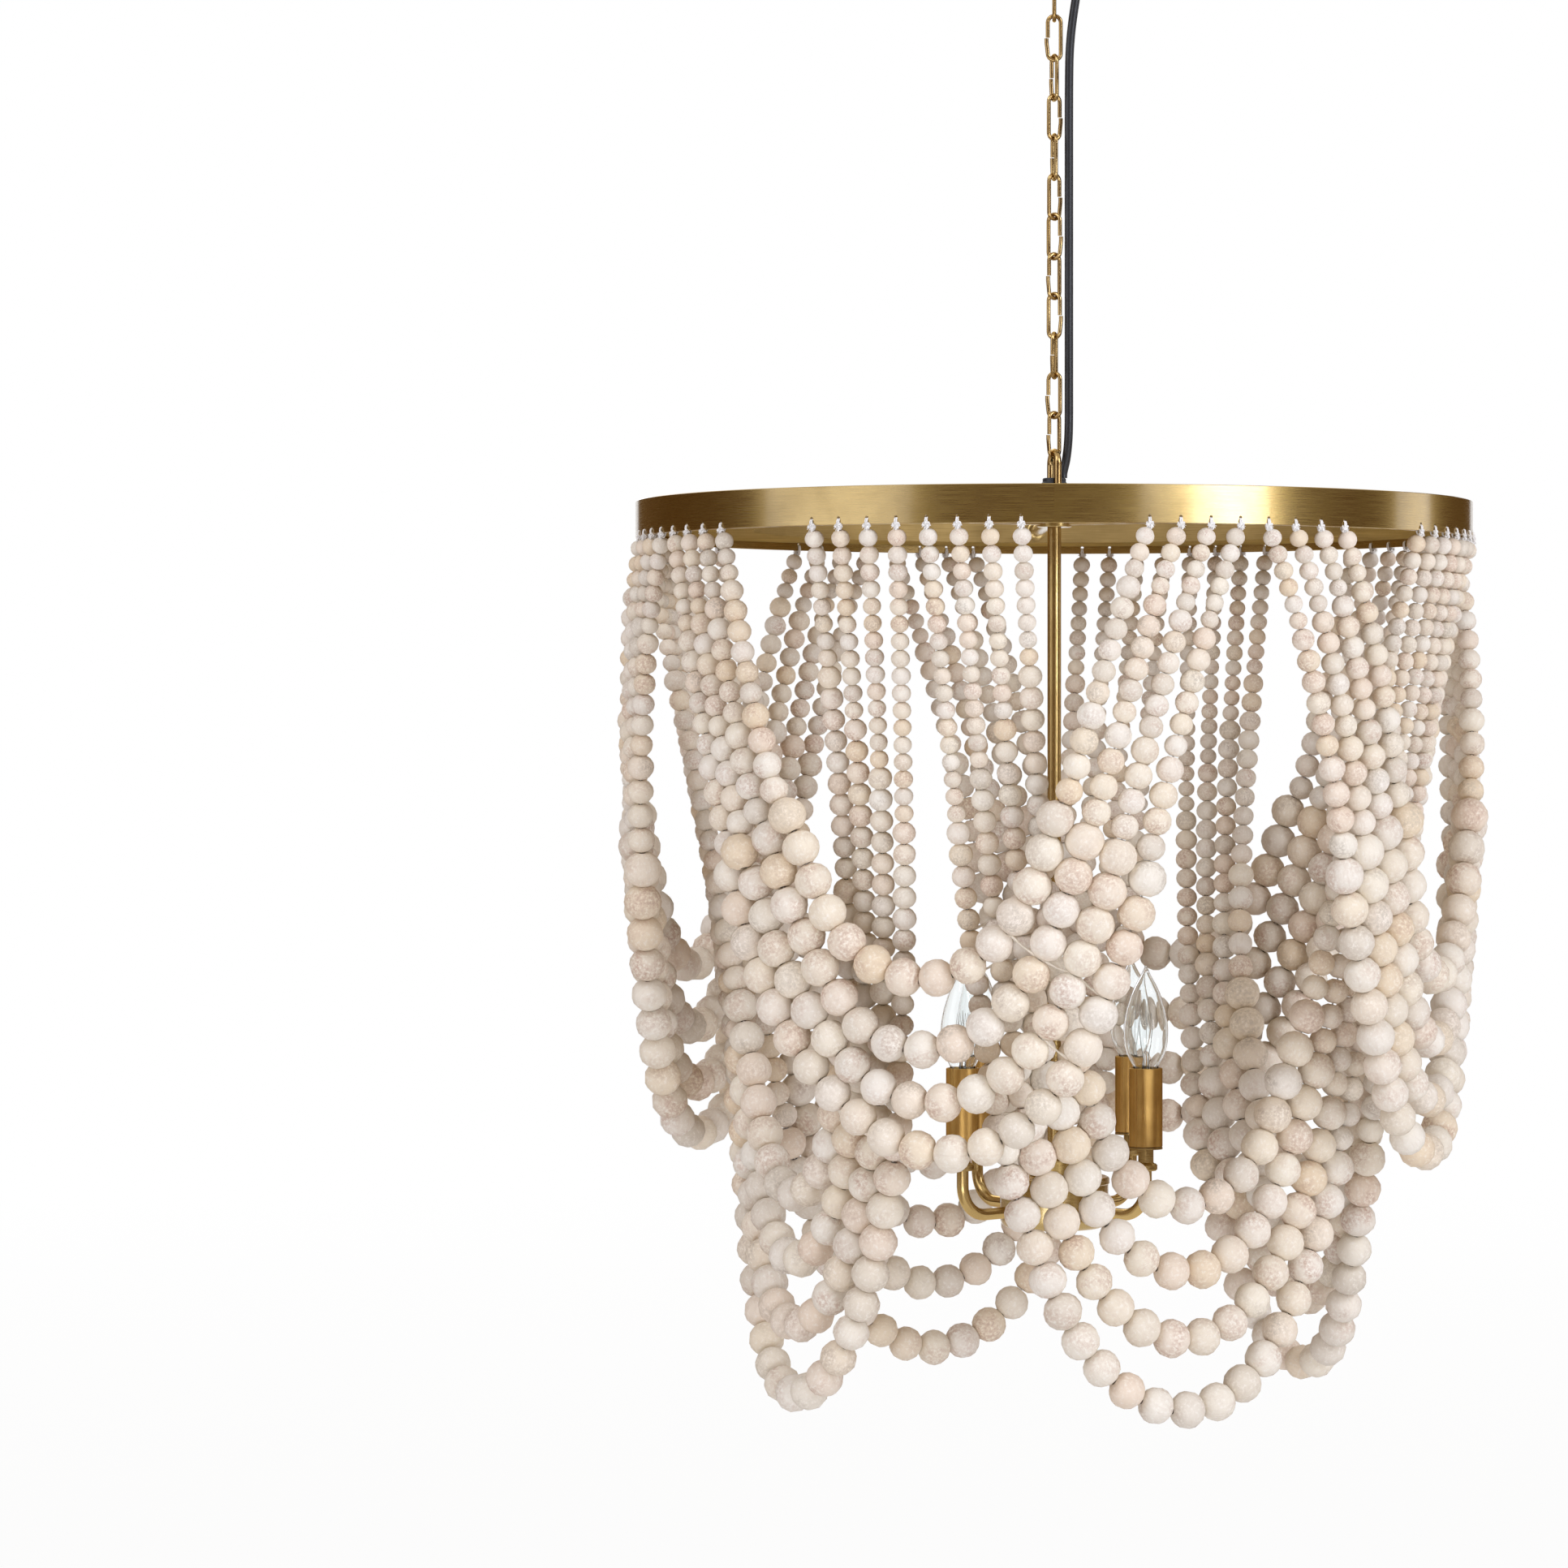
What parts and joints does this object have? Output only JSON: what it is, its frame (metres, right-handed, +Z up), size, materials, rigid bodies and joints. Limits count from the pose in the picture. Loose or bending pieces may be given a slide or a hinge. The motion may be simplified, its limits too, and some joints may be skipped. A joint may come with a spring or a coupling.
{
  "type": "beaded chandelier",
  "caption": "Chain-hung chandelier: a brass ring carries nested swags of round wooden beads about candle lamps on curved arms below a central rod.",
  "frame": {"origin": "centre of the ceiling strap's top face, which lies against the ceiling", "axes": "+Z up, -Y towards the viewer of the picture, +X to the viewer's right"},
  "size_m": [0.6158, 0.6158, 1.0914],
  "materials": {
    "zinc_steel": "zinc-plated sheet and screws",
    "chain_brass": "bright antique brass with dark recesses",
    "aged_brass": "brushed aged brass",
    "sleeve_brass": "satin brown-gold",
    "socket_brass": "turned brass collar and seat round a lamp socket",
    "black_plastic": "matt black",
    "cord_jacket": "smooth satin black jacket",
    "clear_glass": "clear flame-shaped bulb",
    "limed_wood": "whitewashed round wooden beads on white string"
  },
  "bodies": {
    "ceiling_fixing": {"mounting_strap": "zinc_steel", "strap_screw_left": "zinc_steel", "strap_screw_right": "zinc_steel", "canopy": "chain_brass", "canopy_eye": "chain_brass", "cord_bush": "black_plastic"},
    "top_link": {"chain_link_01": "chain_brass"},
    "fixture": {"chain_link_02": "chain_brass", "chain_link_03": "chain_brass", "chain_link_04": "chain_brass", "chain_link_05": "chain_brass", "chain_link_06": "chain_brass", "chain_link_07": "chain_brass", "chain_link_08": "chain_brass", "chain_link_09": "chain_brass", "chain_link_10": "chain_brass", "chain_link_11": "chain_brass", "chain_link_12": "chain_brass", "hub_loop": "chain_brass", "cord_gland": "black_plastic", "pendant_cord": "cord_jacket", "ring_band": "aged_brass", "ring_channel": "aged_brass", "ring_spider": "aged_brass", "centre_rod": "aged_brass", "light_hub": "aged_brass", "light_hub_lid": "aged_brass", "light_hub_screw": "aged_brass", "lamp_arm_1": "aged_brass", "lamp_arm_2": "aged_brass", "lamp_arm_3": "aged_brass", "lamp_arm_4": "aged_brass", "socket_1": "socket_brass", "socket_2": "socket_brass", "socket_3": "socket_brass", "socket_4": "socket_brass", "candle_sleeve_1": "sleeve_brass", "candle_sleeve_2": "sleeve_brass", "candle_sleeve_3": "sleeve_brass", "candle_sleeve_4": "sleeve_brass", "outer_set_1_upper_strands": "limed_wood", "outer_set_1_lower_strands": "limed_wood", "inner_set_1_upper_strands": "limed_wood", "inner_set_1_lower_strands": "limed_wood", "outer_set_2_upper_strands": "limed_wood", "outer_set_2_lower_strands": "limed_wood", "inner_set_2_upper_strands": "limed_wood", "inner_set_2_lower_strands": "limed_wood", "outer_set_3_upper_strands": "limed_wood", "outer_set_3_lower_strands": "limed_wood", "inner_set_3_upper_strands": "limed_wood", "inner_set_3_lower_strands": "limed_wood", "outer_set_4_upper_strands": "limed_wood", "outer_set_4_lower_strands": "limed_wood", "inner_set_4_upper_strands": "limed_wood", "inner_set_4_lower_strands": "limed_wood"},
    "bulb_1_body": {"bulb_1": "clear_glass"},
    "bulb_2_body": {"bulb_2": "clear_glass"},
    "bulb_3_body": {"bulb_3": "clear_glass"},
    "bulb_4_body": {"bulb_4": "clear_glass"}
  },
  "joints": [
    {"name": "chain_swing_front_back", "type": "hinge", "parent": "ceiling_fixing", "child": "top_link", "pos_m": [0, 0, -0.062], "axis": [1, 0, 0], "range_deg": [-15, 15], "deforming": ["pendant_cord"]},
    {"name": "chain_swing_sideways", "type": "hinge", "parent": "top_link", "child": "fixture", "pos_m": [0, 0, -0.0901], "axis": [0, 1, 0], "range_deg": [-15, 15], "deforming": ["pendant_cord"]},
    {"name": "bulb_1_unscrew", "type": "slide", "parent": "fixture", "child": "bulb_1_body", "axis": [0, 0, 1], "range_m": [0, 0.03]},
    {"name": "bulb_2_unscrew", "type": "slide", "parent": "fixture", "child": "bulb_2_body", "axis": [0, 0, 1], "range_m": [0, 0.03]},
    {"name": "bulb_3_unscrew", "type": "slide", "parent": "fixture", "child": "bulb_3_body", "axis": [0, 0, 1], "range_m": [0, 0.03]},
    {"name": "bulb_4_unscrew", "type": "slide", "parent": "fixture", "child": "bulb_4_body", "axis": [0, 0, 1], "range_m": [0, 0.03]}
  ]
}
